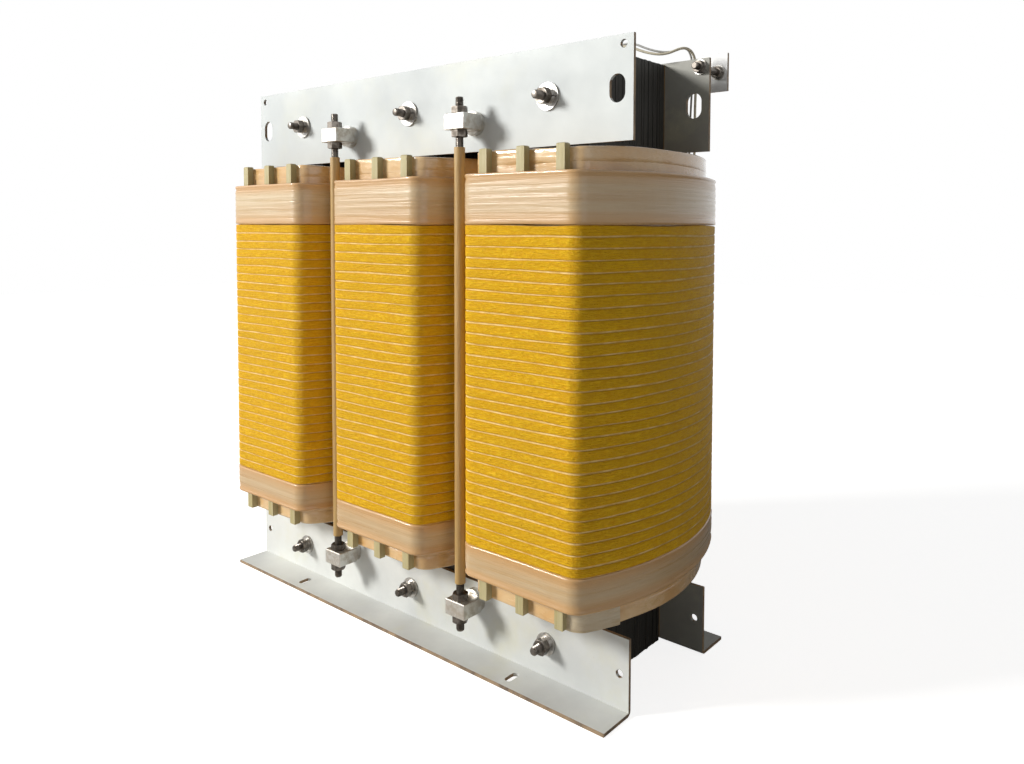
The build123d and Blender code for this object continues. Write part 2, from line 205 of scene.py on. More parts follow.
def wrapped_wall(name, middle_x, outline, profile, seed, waver, grain):
    """Wrap a sheet round the outline. Each profile row is (drawn in, height, turn)."""
    columns, rows = len(outline), len(profile) - 1
    walked = [0.0]
    for here, after in zip(outline, outline[1:] + outline[:1]):
        walked.append(walked[-1] + math.dist(here[:2], after[:2]))
    sheet = bmesh.new()
    bmesh.ops.create_grid(sheet, x_segments=columns, y_segments=rows, size=0.5)
    wrap = sheet.loops.layers.uv.new("wrap")
    for face in sheet.faces:
        for loop in face.loops:
            column = round((loop.vert.co.x + 0.5) * columns)
            row = round((loop.vert.co.y + 0.5) * rows)
            loop[wrap].uv = (walked[column], profile[row][2])
    for vert in sheet.verts:
        x, y, a, b = outline[round((vert.co.x + 0.5) * columns) % columns]
        drawn_in, height, turn = profile[round((vert.co.y + 0.5) * rows)]
        waver_place = Vector((waver_scale * x, waver_scale * y, waver_per_turn * turn + seed))
        grain_place = Vector((grain_scale * x, grain_scale * y, grain_scale * height + seed))
        lift = waver * noise.noise(waver_place)
        inward = drawn_in + abs(grain * noise.noise(grain_place))
        vert.co = (middle_x + x - inward * a, y - inward * b, height + lift)
    bmesh.ops.remove_doubles(sheet, verts=sheet.verts, dist=seam_gap)
    bmesh.ops.recalc_face_normals(sheet, faces=sheet.faces)
    piece = finished_piece(name, sheet)
    piece.data.shade_smooth()
    return piece


print("sheets can be wrapped")

# %% [markdown]
# ## Turns of the outer windings
# Each outer winding has thirty turns of flat, taped conductor. A turn is a flat band with
# soft edges, and between two turns lies a narrow seam. A bump alone would leave the sides
# straight, so nine rows to a turn make the bands and seams as shape.

# %% Turns of the outer windings
phases = ("left", "centre", "right")
wall = 0.006
turn_count = 30
turn_spacing = 0.0045
turn_rows = (
    (0.00, 0.0007), (0.05, 0.0007), (0.08, 0.0002), (0.18, 0.0), (0.38, 0.0),
    (0.62, 0.0), (0.82, 0.0), (0.92, 0.0002), (0.95, 0.0007),
)
turns_low, turns_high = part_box("hv_winding_right")
turns_bottom, turns_top = turns_low[2], turns_high[2]
turn_pitch = (turns_top - turns_bottom) / turn_count
wound = {}
for number, phase in enumerate(phases):
    half_width, half_depth, middle_x = plan_of(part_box(f"hv_winding_{phase}"))
    outline = outline_points(half_width, half_depth, outer_corner, turn_spacing)
    profile = [(wall, turns_bottom, 0.0)]
    for turn in range(turn_count):
        for share, drawn_in in turn_rows:
            height = turns_bottom + (turn + share) * turn_pitch
            profile.append((drawn_in, height, turn + share))
    profile += [(wall, turns_top, turn_count), (wall, turns_bottom, 0.0)]
    piece = wrapped_wall(
        f"turns_{phase}", middle_x, outline, profile,
        seed=7.0 * number, waver=0.0014, grain=0.00035,
    )
    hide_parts(f"hv_winding_{phase}")
    wound[piece.name] = piece
print("turn pitch", round(turn_pitch * 1000, 2), "mm,", len(profile), "rows in a wall")

# %% [markdown]
# ## Collars
# Above and below the turns, cream tape is wound in narrow laps and soaked in resin. The laps
# are steps of two tenths of a millimetre, just enough to catch the light, and the free rim
# ends in a thick bead where the resin gathered before it set.

# %% Collars
collar_corner = outer_corner + 0.0006
tape_spacing = 0.006
lap_pitch = 0.0028
lap_step = 0.00018
bead_rows = (
    (0.0014, 0.0052), (0.0004, 0.0034), (0.0002, 0.0018), (0.0010, 0.0004),
    (0.0026, 0.0), (0.0046, 0.0004), (wall, 0.0018),
)
for number, phase in enumerate(phases):
    for end in ("top", "bottom"):
        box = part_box(f"hv_collar_{end}_{phase}")
        half_width, half_depth, middle_x = plan_of(box)
        low, high = box[0][2], box[1][2]
        free, joined, inwards = (high, low, -1) if end == "top" else (low, high, 1)
        laps = int((high - low - 0.010) / lap_pitch)
        profile = [
            (wall, joined, 0.0), (0.0012, joined, 0.0), (0.0002, joined - inwards * 0.0012, 0.0),
        ]
        for lap in range(laps):
            height = joined - inwards * (0.003 + lap * lap_pitch)
            profile.append((0.0002 + lap_step * (lap % 3), height, float(lap)))
        for drawn_in, from_rim in bead_rows:
            profile.append((drawn_in, free + inwards * from_rim, laps))
        profile.append((wall, joined, 0.0))
        piece = wrapped_wall(
            f"collar_{end}_{phase}", middle_x,
            outline_points(half_width, half_depth, collar_corner, tape_spacing), profile,
            seed=5.0 * number + 2.0, waver=0.0012, grain=0.0002,
        )
        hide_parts(f"hv_collar_{end}_{phase}")
        wound[piece.name] = piece
print("collars wound:", len(wound) - len(phases))

# %% [markdown]
# ## Lips of the inner windings
# The inner winding stands out of the outer one at both ends, and its glass tape finishes
# in an uneven lip of resin. The frame's own solid is left as the body of the winding. A
# low wrapped band is laid on each end of it, with a stronger waver than the collars have.

# %% Lips of the inner windings
lip_wall = 0.0080
lip_rows = (
    (0.0012, -0.016, 0.0), (0.0, -0.014, 0.3), (0.0001, -0.008, 0.9), (0.0004, -0.003, 1.2),
    (0.0001, 0.0002, 1.3), (0.0009, 0.0014, 1.4), (0.0030, 0.0018, 1.4), (0.0060, 0.0012, 1.5),
)
for number, phase in enumerate(phases):
    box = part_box(f"lv_winding_{phase}")
    half_width, half_depth, middle_x = plan_of(box)
    outline = outline_points(
        half_width + 0.0002, half_depth + 0.0003, inner_corner, tape_spacing
    )
    for end, rim, outwards in (("top", box[1][2], 1), ("bottom", box[0][2], -1)):
        back = (lip_wall, rim - outwards * 0.0002, 0.0)
        profile = [back]
        for drawn_in, past_rim, turn in lip_rows:
            profile.append((drawn_in, rim + outwards * past_rim, turn))
        profile.append(back)
        piece = wrapped_wall(
            f"lip_{end}_{phase}", middle_x, outline, profile,
            seed=3.0 * number + 1.0, waver=0.0030, grain=0.0003,
        )
        wound[piece.name] = piece
print("wound pieces:", len(wound))

# %% [markdown]
# ## Loose tape end
# One strip of glass tape at the front right corner of the right-hand winding was left
# standing a little proud. It is a short grid laid along the same outline, curled away
# from the wall towards its free end and then given the thickness of the tape.

# %% Loose tape end
tape_width = 0.024
tape_thickness = 0.0005
tape_overhang = 0.002
tape_stand_off = 0.0012
low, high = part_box("lv_winding_right")
half_width, half_depth, middle_x = plan_of((low, high))
strip_path = [
    (x, y, a, b)
    for x, y, a, b in outline_points(
        half_width + tape_stand_off, half_depth + tape_stand_off, inner_corner, tape_spacing / 2
    )
    if y < -0.088 and 0.050 < x < 0.098
]
tape_steps = len(strip_path) - 1
tape = bmesh.new()
bmesh.ops.create_grid(tape, x_segments=tape_steps, y_segments=6, size=0.5)
for vert in tape.verts:
    step = round((vert.co.x + 0.5) * tape_steps)
    share = vert.co.y + 0.5
    x, y, a, b = strip_path[step]
    curl = 0.0012 * (step / tape_steps) ** 3 + 0.0002 * math.sin(7 * share + 0.9 * step)
    vert.co = (middle_x + x + curl * a, y + curl * b, low[2] - tape_overhang + tape_width * share)
tape.normal_update()
bmesh.ops.solidify(tape, geom=tape.faces, thickness=tape_thickness)
bmesh.ops.recalc_face_normals(tape, faces=tape.faces)
tape_end = finished_piece("tape_end", tape)
tape_end.data.shade_smooth()
tape_end.data.set_sharp_from_angle(angle=math.radians(40))
print("tape end steps:", tape_steps)

# %% [markdown]
# ## Rolled threads
# The construction model keeps each stud and tie rod a plain bar. A real one shows its
# thread past the nuts, and a bump can't give the notched outline of a thread. A small
# section is spun round the bar while it climbs by one pitch a turn, as a rolling die
# raises the metal. One stud and one rod are made, and the others are copies of them.

# %% Rolled threads
thread_pitch = 0.0015
thread_depth = 0.55 * thread_pitch
bar_radius = 0.005
steps_per_turn = 18


def threaded_bar(name, length, stretches):
    """One bar standing on the origin, with a helical ridge along each stated stretch."""
    form = bmesh.new()
    root = bar_radius - thread_depth
    crest = bar_radius - 0.00005
    buried = root - 0.0002
    bmesh.ops.create_cone(
        form, cap_ends=True, segments=32, radius1=root, radius2=root, depth=length,
        matrix=Matrix.Translation((0.0, 0.0, length / 2)),
    )
    ends = [edge for edge in form.edges if any(len(face.verts) > 4 for face in edge.link_faces)]
    bmesh.ops.bevel(
        form, geom=ends, offset=0.0006, offset_type="OFFSET", segments=2, profile=0.5,
        affect="EDGES", material=-1,
    )
    for start, end in stretches:
        turns = (end - start) / thread_pitch - 1.0
        ridge = ((buried, 0.0), (crest, 0.44), (crest, 0.56), (buried, 0.94))
        section = [form.verts.new((x, 0.0, start + share * thread_pitch)) for x, share in ridge]
        rim = [form.edges.new((section[k - 1], section[k])) for k in range(4)]
        bmesh.ops.spin(
            form, geom=section + rim, cent=(0, 0, 0), axis=(0, 0, 1),
            dvec=(0, 0, thread_pitch / steps_per_turn), angle=2 * math.pi * turns,
            steps=round(steps_per_turn * turns), use_merge=False,
        )
    open_edges = [edge for edge in form.edges if edge.is_boundary]
    bmesh.ops.holes_fill(form, edges=open_edges, sides=4)
    bmesh.ops.recalc_face_normals(form, faces=form.faces)
    mesh = bpy.data.meshes.new(name)
    form.to_mesh(mesh)
    form.free()
    mesh.shade_smooth()
    mesh.set_sharp_from_angle(angle=math.radians(32))
    return mesh


def threaded_both_ends(name, length, stretch):
    """A bar whose thread runs in from both ends."""
    lead_in = 0.0005
    return threaded_bar(
        name, length, ((lead_in, stretch), (length - stretch, length - lead_in))
    )


def place_bars(bar, places, name, replaced):
    """Copies of one bar, joined in one piece that stands in for a frame node."""
    form = bmesh.new()
    for place in places:
        copy = bar.copy()
        copy.transform(place)
        form.from_mesh(copy)
        bpy.data.meshes.remove(copy)
    piece = finished_piece(name, form)
    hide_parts(replaced)
    return piece


print("steps in one turn of thread:", steps_per_turn)

# %% Studs and tie rods
bolt_pitch = 0.230
lie_down = Matrix.Rotation(math.radians(-90), 4, "X")
bars = {}
low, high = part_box("top_yoke_studs")
stud = threaded_both_ends("stud", high[1] - low[1], 0.030)
for level in ("bottom", "top"):
    low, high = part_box(f"{level}_yoke_studs")
    places = [
        Matrix.Translation((x, low[1], (low[2] + high[2]) / 2)) @ lie_down
        for x in (-bolt_pitch, 0.0, bolt_pitch)
    ]
    bars[level] = place_bars(stud, places, f"threaded_studs_{level}", f"{level}_yoke_studs")
low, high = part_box("tie_rod_front_left")
rod = threaded_both_ends("rod", high[2] - low[2], 0.062)
for corner in ("front_left", "front_right", "rear_left", "rear_right"):
    low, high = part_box(f"tie_rod_{corner}")
    place = Matrix.Translation(((low[0] + high[0]) / 2, (low[1] + high[1]) / 2, low[2]))
    bars[corner] = place_bars(rod, [place], f"threaded_rod_{corner}", f"tie_rod_{corner}")
print("threaded bars:", len(bars))

# %% [markdown]
# ## Stacked sheets of the yokes
# A core is laid up by hand from thin sheets, and their ends never line up quite. Hundreds
# of sheets would be too fine to see, so each yoke is a pile of thirty-one packets, each
# slid and lifted by a fraction of a millimetre. A block inside closes the gaps between
# them, and the finish adds the finer lines of the single sheets.

# %% Stacked sheets of the yokes
packets = 31
packet_fill = 0.93
sheet_random = random.Random(11)
yokes = {}
for level in ("bottom", "top"):
    low, high = (Vector(corner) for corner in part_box(f"core_{level}_yoke"))
    middle_z = (low.z + high.z) / 2
    thick = (high.y - low.y) / packets
    blocks = []
    for k in range(packets):
        slide = sheet_random.uniform(0.0, 0.0007)
        lift = sheet_random.uniform(0.0, 0.0004)
        size = (high.x - low.x - 2 * slide, thick * packet_fill, high.z - low.z - 2 * lift)
        blocks.append(((0.0, low.y + (k + 0.5) * thick, middle_z), size))
    blocks.append(((0.0, 0.0, middle_z), high - low - Vector((0.003, 0.0004, 0.002))))
    form = bmesh.new()
    for centre, size in blocks:
        place = Matrix.Translation(centre) @ Matrix.Diagonal((*size, 1.0))
        bmesh.ops.create_cube(form, size=1.0, matrix=place)
    stack = finished_piece(f"sheets_{level}", form)
    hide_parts(f"core_{level}_yoke")
    yokes[level] = stack
print("stacked yokes:", list(yokes))

# %% [markdown]
# ## Tools for materials
# Each finish is a Principled shader fed by a few patterns. Nodes could be placed by hand,
# but a dozen finishes repeat the same few moves. Short helpers make a node, join it and
# return its output, so that the recipe of a finish reads from top to bottom.

# %% Making and joining nodes
def new_material(name, **sockets):
    """A material with its Principled shader, and plain values set on the shader's sockets."""
    material = bpy.data.materials.new(name)
    material.use_nodes = True
    shader = material.node_tree.nodes["Principled BSDF"]
    for socket, value in sockets.items():
        shader.inputs[socket.replace("_", " ")].default_value = value
    return material, material.node_tree, shader


def feed(tree, socket, value):
    """Join an output to a socket, or set a plain value on it."""
    if isinstance(value, bpy.types.NodeSocket):
        tree.links.new(value, socket)
    else:
        socket.default_value = value


def add_node(tree, kind, inputs=None, **settings):
    """Make one node, set its properties and feed its inputs."""
    node = tree.nodes.new(kind)
    for name, value in settings.items():
        setattr(node, name, value)
    for socket, value in (inputs or {}).items():
        feed(tree, node.inputs[socket], value)
    return node


def math_node(tree, operation, a, b=0.0):
    """One step of arithmetic on values that change over the surface."""
    return add_node(tree, "ShaderNodeMath", {0: a, 1: b}, operation=operation).outputs[0]


def partly(tree, mask, share):
    """A mask held back to a share of its strength."""
    return math_node(tree, "MULTIPLY", mask, share)


def soft_step(tree, value, low, high):
    """Rise smoothly from 0 to 1 between two values."""
    steps = {0: value, 1: low, 2: high}
    return add_node(
        tree, "ShaderNodeMapRange", steps, interpolation_type="SMOOTHSTEP"
    ).outputs[0]


def between(tree, mask, low, high):
    """Spread a mask over the range from low to high."""
    return add_node(tree, "ShaderNodeMapRange", {0: mask, 3: low, 4: high}).outputs[0]


def mix_colour(tree, mask, first, second):
    """Blend two colours by a mask."""
    node = add_node(tree, "ShaderNodeMix", data_type="RGBA")
    for index, value in ((0, mask), (6, first), (7, second)):
        feed(tree, node.inputs[index], value)
    return node.outputs[2]


def colour(red, green, blue):
    return (red, green, blue, 1.0)


def object_place(tree):
    """The place on the object, in metres."""
    return add_node(tree, "ShaderNodeTexCoord").outputs["Object"]


def finish_normal(tree, shader, height, distance, strength=1.0):
    """Turn a height pattern into fine relief on the shader."""
    bump = add_node(
        tree, "ShaderNodeBump", {"Height": height, "Distance": distance, "Strength": strength}
    )
    tree.links.new(bump.outputs["Normal"], shader.inputs["Normal"])


def fine_grain(tree, shader, scale, detail=2.0):
    """The tooth of a plated or rolled surface, as a very low bump."""
    grain = add_node(
        tree, "ShaderNodeTexNoise",
        {"Vector": object_place(tree), "Scale": scale, "Detail": detail},
    )
    finish_normal(tree, shader, grain.outputs[0], 0.0002, 0.2)


def new_group(name, inputs):
    """An empty shader group with named float inputs and one float output, Mask."""
    group = bpy.data.node_groups.new(name, "ShaderNodeTree")
    for label, value in inputs.items():
        socket = group.interface.new_socket(
            label, in_out="INPUT", socket_type="NodeSocketFloat"
        )
        socket.default_value = value
    group.interface.new_socket("Mask", in_out="OUTPUT", socket_type="NodeSocketFloat")
    source = group.nodes.new("NodeGroupInput")
    sink = group.nodes.new("NodeGroupOutput")
    return group, source.outputs, sink.inputs


def use_group(tree, group, **inputs):
    """Place a group in a material with its own values and return its mask."""
    node = add_node(tree, "ShaderNodeGroup", inputs, node_tree=group)
    return node.outputs["Mask"]


print("node helpers ready")

# %% [markdown]
# ## Stains
# Plating, steel and resin all carry soft blotches with a sharper rim, only at different
# sizes. One shared group gives them: a noise pattern whose middle range is stretched to a
# mask. Flatten squeezes it in height, for runs and stains that hang or lie.

# %% Stains
stains, given, result = new_group(
    "stains", {"Scale": 20.0, "Low": 0.5, "High": 0.7, "Flatten": 1.0}
)
squeeze = add_node(stains, "ShaderNodeCombineXYZ", {0: 1.0, 1: 1.0, 2: given["Flatten"]})
place = add_node(
    stains, "ShaderNodeVectorMath", {0: object_place(stains), 1: squeeze.outputs[0]},
    operation="MULTIPLY",
)
blotches = add_node(
    stains, "ShaderNodeTexNoise",
    {"Vector": place.outputs[0], "Scale": given["Scale"], "Detail": 6.0, "Roughness": 0.62},
)
mask = soft_step(stains, blotches.outputs[0], given["Low"], given["High"])
stains.links.new(mask, result["Mask"])
print("group", stains.name, "with", len(stains.nodes), "nodes")

# %% [markdown]
# ## Wrap streaks
# Tape and resin run round a winding, so their marks are long sideways and short in height.
# The pattern is noise on a stretched place, with its own scale along and across the wrap
# and a seed, so one finish can lay several different sets of streaks over each other.

# %% Wrap streaks
streaks, given, result = new_group(
    "wrap_streaks", {"Along": 4.0, "Across": 90.0, "Low": 0.35, "High": 0.65, "Seed": 0.0}
)
stretch = add_node(
    streaks, "ShaderNodeCombineXYZ", {0: given["Along"], 1: given["Along"], 2: given["Across"]}
)
place = add_node(
    streaks, "ShaderNodeVectorMath", {0: object_place(streaks), 1: stretch.outputs[0]},
    operation="MULTIPLY",
)
runs = add_node(
    streaks, "ShaderNodeTexNoise",
    {"Vector": place.outputs[0], "W": given["Seed"], "Scale": 1.0, "Detail": 5.0,
     "Roughness": 0.6, "Distortion": 0.4},
    noise_dimensions="4D",
)
mask = soft_step(streaks, runs.outputs[0], given["Low"], given["High"])
streaks.links.new(mask, result["Mask"])
print("group", streaks.name, "with", len(streaks.nodes), "nodes")

# %% [markdown]
# ## Sheet slits
# The edges of stacked sheets are thin upright lines. They vary quickly through the stack
# and hardly at all in height, so the pattern reads only those two directions.

# %% Sheet slits
slits, given, result = new_group("sheet_slits", {"Across": 900.0, "Low": 0.45, "High": 0.6})
split = add_node(slits, "ShaderNodeSeparateXYZ", {0: object_place(slits)})
through = math_node(slits, "MULTIPLY", split.outputs["Y"], given["Across"])
upright = math_node(slits, "MULTIPLY", split.outputs["Z"], 6.0)
spot = add_node(slits, "ShaderNodeCombineXYZ", {0: 0.0, 1: through, 2: upright})
lines = add_node(
    slits, "ShaderNodeTexNoise", {"Vector": spot.outputs[0], "Scale": 1.0, "Detail": 2.0}
)
mask = add_node(
    slits, "ShaderNodeMapRange", {0: lines.outputs[0], 1: given["Low"], 2: given["High"]}
)
slits.links.new(mask.outputs[0], result["Mask"])
print("group", slits.name, "with", len(slits.nodes), "nodes")

# %% [markdown]
# ## Zinc plated sheet
# The clamps are zinc plated sheet: nearly white, slightly blue, with a soft satin sheen and
# faint yellow passivation stains. A full metal would mirror the bare stage and go grey, so
# the sheet is mostly a pale, rough surface. Where it was cut the zinc is gone and the edge
# is brown. The edges are found by the way a face looks: the ends of a sheet, its raised
# top and bottom edges, and the outer edge of a foot.

# %% Zinc plated sheet
flat_on = 0.9
floor_clearance = 0.02


def beyond(tree, value, limit):
    """1 where a value is further from zero than a limit, either way."""
    return math_node(tree, "GREATER_THAN", math_node(tree, "ABSOLUTE", value), limit)


def cut_edges(tree, foot_edge):
    """A mask on the narrow faces that shears and punches leave bare."""
    facing = add_node(tree, "ShaderNodeTexCoord").outputs["Normal"]
    facing = add_node(tree, "ShaderNodeSeparateXYZ", {0: facing})
    place = add_node(tree, "ShaderNodeSeparateXYZ", {0: object_place(tree)})
    raised = math_node(tree, "GREATER_THAN", place.outputs["Z"], floor_clearance)
    long_edge = math_node(tree, "MULTIPLY", beyond(tree, facing.outputs["Z"], flat_on), raised)
    cut = math_node(tree, "MAXIMUM", beyond(tree, facing.outputs["X"], flat_on), long_edge)
    return math_node(tree, "MAXIMUM", cut, beyond(tree, place.outputs["Y"], foot_edge))


def zinc_sheet(name, pale, dull, stain_amount, foot_edge=1.0):
    material, tree, shader = new_material(
        name, Metallic=0.1, Roughness=0.55, Specular_IOR_Level=0.35
    )
    cloud = use_group(tree, stains, Scale=5.0, Low=0.30, High=0.78)
    patch = use_group(tree, stains, Scale=8.0, Low=0.52, High=0.80)
    speck = use_group(tree, stains, Scale=190.0, Low=0.69, High=0.76)
    rust = use_group(tree, stains, Scale=60.0, Low=0.30, High=0.62)
    base = mix_colour(tree, cloud, pale, dull)
    base = mix_colour(tree, partly(tree, patch, stain_amount), base, colour(0.62, 0.60, 0.42))
    base = mix_colour(tree, partly(tree, speck, 0.35), base, colour(0.36, 0.31, 0.22))
    brown = mix_colour(tree, rust, colour(0.10, 0.055, 0.025), colour(0.34, 0.22, 0.11))
    base = mix_colour(tree, partly(tree, cut_edges(tree, foot_edge), 0.9), base, brown)
    tree.links.new(base, shader.inputs["Base Color"])
    tree.links.new(between(tree, cloud, 0.50, 0.66), shader.inputs["Roughness"])
    fine_grain(tree, shader, 420.0, 3.0)
    return material


zinc_clamp = zinc_sheet(
    "zinc_clamp", colour(0.55, 0.58, 0.58), colour(0.47, 0.50, 0.51), stain_amount=0.25
)
zinc_foot = zinc_sheet(
    "zinc_foot", colour(0.74, 0.76, 0.74), colour(0.56, 0.58, 0.58), stain_amount=0.55,
    foot_edge=0.1290,
)
# Painted shade: a darker copy of the zinc, with heavier stains, for the rear clamps and the rear
# foot. It stands in for the shade and the dark reflections they sit in.
zinc_rear = zinc_sheet(
    "zinc_rear", colour(0.34, 0.34, 0.31), colour(0.25, 0.25, 0.23), stain_amount=0.70
)
# Painted light: a paler copy of the zinc for the corner brackets, so that they look more brightly
# lit than the lamps leave them.
zinc_bracket = zinc_sheet(
    "zinc_bracket", colour(0.90, 0.91, 0.92), colour(0.74, 0.75, 0.77), stain_amount=0.20
)
print("zinc finishes made")

# %% [markdown]
# ## Core laminations
# The ends of the core are lacquered black, and the sheets show through as hairlines. Two
# sets of slits, coarse and fine, give the colour and the relief together, so the light and
# the lines agree.

# %% Core laminations
core_steel, tree, shader = new_material("core_steel", Metallic=0.3, Roughness=0.5)
coarse = use_group(tree, slits, Across=700.0, Low=0.46, High=0.62)
fine = use_group(tree, slits, Across=2200.0, Low=0.4, High=0.7)
base = mix_colour(tree, coarse, colour(0.006, 0.006, 0.006), colour(0.030, 0.028, 0.022))
base = mix_colour(tree, partly(tree, fine, 0.4), base, colour(0.045, 0.040, 0.028))
tree.links.new(base, shader.inputs["Base Color"])
finish_normal(tree, shader, math_node(tree, "ADD", coarse, fine), 0.0004, 0.6)
print("core finish made")

# %% [markdown]
# ## Hardware
# Washers are dull bright zinc, studs and nuts are dark and oiled, and the lug blocks are
# machined steel. All three are true metals with worn patches, and differ in their colours
# and gloss alone.

# %% Hardware
def hardware(name, light, dark, roughness):
    material, tree, shader = new_material(name, Metallic=0.9, Roughness=roughness)
    wear = use_group(tree, stains, Scale=90.0, Low=0.38, High=0.66)
    rough = between(tree, wear, roughness - 0.08, roughness + 0.12)
    tree.links.new(mix_colour(tree, wear, light, dark), shader.inputs["Base Color"])
    tree.links.new(rough, shader.inputs["Roughness"])
    fine_grain(tree, shader, 800.0)
    return material


bright_steel = hardware("bright_steel", colour(0.55, 0.54, 0.52), colour(0.33, 0.31, 0.28), 0.34)
dark_steel = hardware("dark_steel", colour(0.20, 0.18, 0.16), colour(0.07, 0.06, 0.05), 0.36)
lug_steel = hardware("lug_steel", colour(0.66, 0.65, 0.62), colour(0.46, 0.42, 0.36), 0.38)
print("steel finishes made")

# %% [markdown]
# ## Yellow turns
# Each outer turn is a strip wrapped in varnished yellow fibre, with a thin pale line of
# resin where two turns meet. The pattern reads the wrap map, so strands run round the
# winding on all sides, and the turn number places seams and rims and gives each turn a
# slightly different tone.

# %% Where a point lies on its turn
hv_tape, tree, shader = new_material("hv_tape", Roughness=0.45, Specular_IOR_Level=0.12)
wrap = add_node(tree, "ShaderNodeUVMap", uv_map="wrap").outputs[0]
split = add_node(tree, "ShaderNodeSeparateXYZ", {0: wrap})
around, turns = split.outputs["X"], split.outputs["Y"]
in_turn = math_node(tree, "FRACT", turns)
seam_below = soft_step(tree, in_turn, 0.09, 0.05)
seam_above = soft_step(tree, in_turn, 0.91, 0.95)
seam = math_node(tree, "MAXIMUM", seam_below, seam_above)
rim_below = soft_step(tree, in_turn, 0.17, 0.09)
rim_above = soft_step(tree, in_turn, 0.80, 0.92)
rim = math_node(tree, "MAXIMUM", rim_below, rim_above)
turn_tone = add_node(
    tree, "ShaderNodeTexWhiteNoise", {"W": math_node(tree, "FLOOR", turns)},
    noise_dimensions="1D",
).outputs[0]
print("seam and rim masks ready")

# %% Yellow fibre and resin seams
def wrap_pattern(along, across, detail, low, high):
    """Noise on the wrapped sheet, stretched along the turns and sharpened to a mask."""
    stretched = math_node(tree, "MULTIPLY", around, along)
    stacked = math_node(tree, "MULTIPLY", turns, across)
    spot = add_node(tree, "ShaderNodeCombineXYZ", {0: stretched, 1: stacked})
    node = add_node(
        tree, "ShaderNodeTexNoise",
        {"Vector": spot.outputs[0], "Scale": 1.0, "Detail": detail, "Roughness": 0.6},
    )
    return soft_step(tree, node.outputs[0], low, high)


strand = wrap_pattern(150.0, 4.6, 4.0, 0.40, 0.64)
fibre = wrap_pattern(60.0, 11.0, 4.0, 0.38, 0.62)
drift = wrap_pattern(9.0, 0.7, 2.0, 0.35, 0.70)
seam_drift = wrap_pattern(40.0, 1.0, 3.0, 0.35, 0.65)
cloud = use_group(tree, stains, Scale=7.0, Low=0.35, High=0.72)
base = mix_colour(tree, fibre, colour(0.70, 0.34, 0.002), colour(0.86, 0.50, 0.006))
for mask, share, tint in (
    (strand, 0.42, colour(0.98, 0.66, 0.03)),
    (turn_tone, 0.25, colour(0.74, 0.40, 0.012)),
    (drift, 0.25, colour(0.80, 0.40, 0.010)),
    (cloud, 0.25, colour(0.62, 0.38, 0.020)),
    (rim, 0.45, colour(0.60, 0.27, 0.008)),
    (seam, 0.90, mix_colour(tree, seam_drift, colour(0.86, 0.64, 0.28), colour(0.66, 0.42, 0.12))),
):
    base = mix_colour(tree, partly(tree, mask, share), base, tint)
tree.links.new(base, shader.inputs["Base Color"])
relief = math_node(tree, "ADD", partly(tree, fibre, 0.6), strand)
off_seam = math_node(tree, "SUBTRACT", 1.0, partly(tree, seam, 0.8))
finish_normal(tree, shader, math_node(tree, "MULTIPLY", relief, off_seam), 0.0008, 0.8)
print("yellow turns finished")

# %% [markdown]
# ## Cream tape and resin
# Collars, lips, duct sticks, rod tubes, boards and the loose tape end are all glass or paper
# under resin. They share one recipe of broad bands, thin strands and burnt streaks, and
# differ in colour, gloss and the scale of the streaks. A clear coat gives the wet look of
# resin over a rougher tape. Resin gathers and darkens at the edges of a collar, so the
# collars turn amber near their top and bottom edges.

# %% Cream tape and resin
amber_reach = (0.019, 0.003)


def near_heights(tree, heights):
    """A mask that fades out above and below each stated height."""
    height = add_node(tree, "ShaderNodeSeparateXYZ", {0: object_place(tree)}).outputs["Z"]
    mask = 0.0
    for edge in heights:
        away = math_node(tree, "ABSOLUTE", math_node(tree, "SUBTRACT", height, edge))
        mask = math_node(tree, "MAXIMUM", soft_step(tree, away, *amber_reach), mask)
    return mask


def taped_resin(name, pale, warm, brown, *, burnt, gloss, coat, along, across, amber_heights=()):
    """Tape under clear resin, with marks that run along the wrap."""
    material, tree, shader = new_material(
        name, Roughness=gloss, Coat_Weight=coat, Coat_Roughness=0.12
    )
    broad = use_group(tree, streaks, Along=along, Across=across, Low=0.34, High=0.66)
    thin = use_group(
        tree, streaks, Along=2 * along, Across=5 * across, Low=0.36, High=0.68, Seed=3.0
    )
    burn = use_group(
        tree, streaks, Along=0.7 * along, Across=0.6 * across, Low=burnt, High=burnt + 0.2,
        Seed=8.0,
    )
    runs = use_group(tree, stains, Scale=24.0, Low=0.50, High=0.72, Flatten=0.35)
    base = mix_colour(tree, broad, pale, warm)
    base = mix_colour(tree, partly(tree, thin, 0.35), base, pale)
    base = mix_colour(tree, partly(tree, burn, 0.65), base, brown)
    base = mix_colour(tree, partly(tree, runs, 0.30), base, warm)
    if amber_heights:
        uneven = math_node(tree, "SUBTRACT", 0.85, partly(tree, broad, 0.35))
        amber = math_node(tree, "MULTIPLY", near_heights(tree, amber_heights), uneven)
        base = mix_colour(tree, amber, base, colour(0.56, 0.29, 0.085))
    tree.links.new(base, shader.inputs["Base Color"])
    tree.links.new(between(tree, thin, gloss - 0.08, gloss + 0.12), shader.inputs["Roughness"])
    finish_normal(tree, shader, math_node(tree, "ADD", broad, thin), 0.0005, 0.45)
    return material


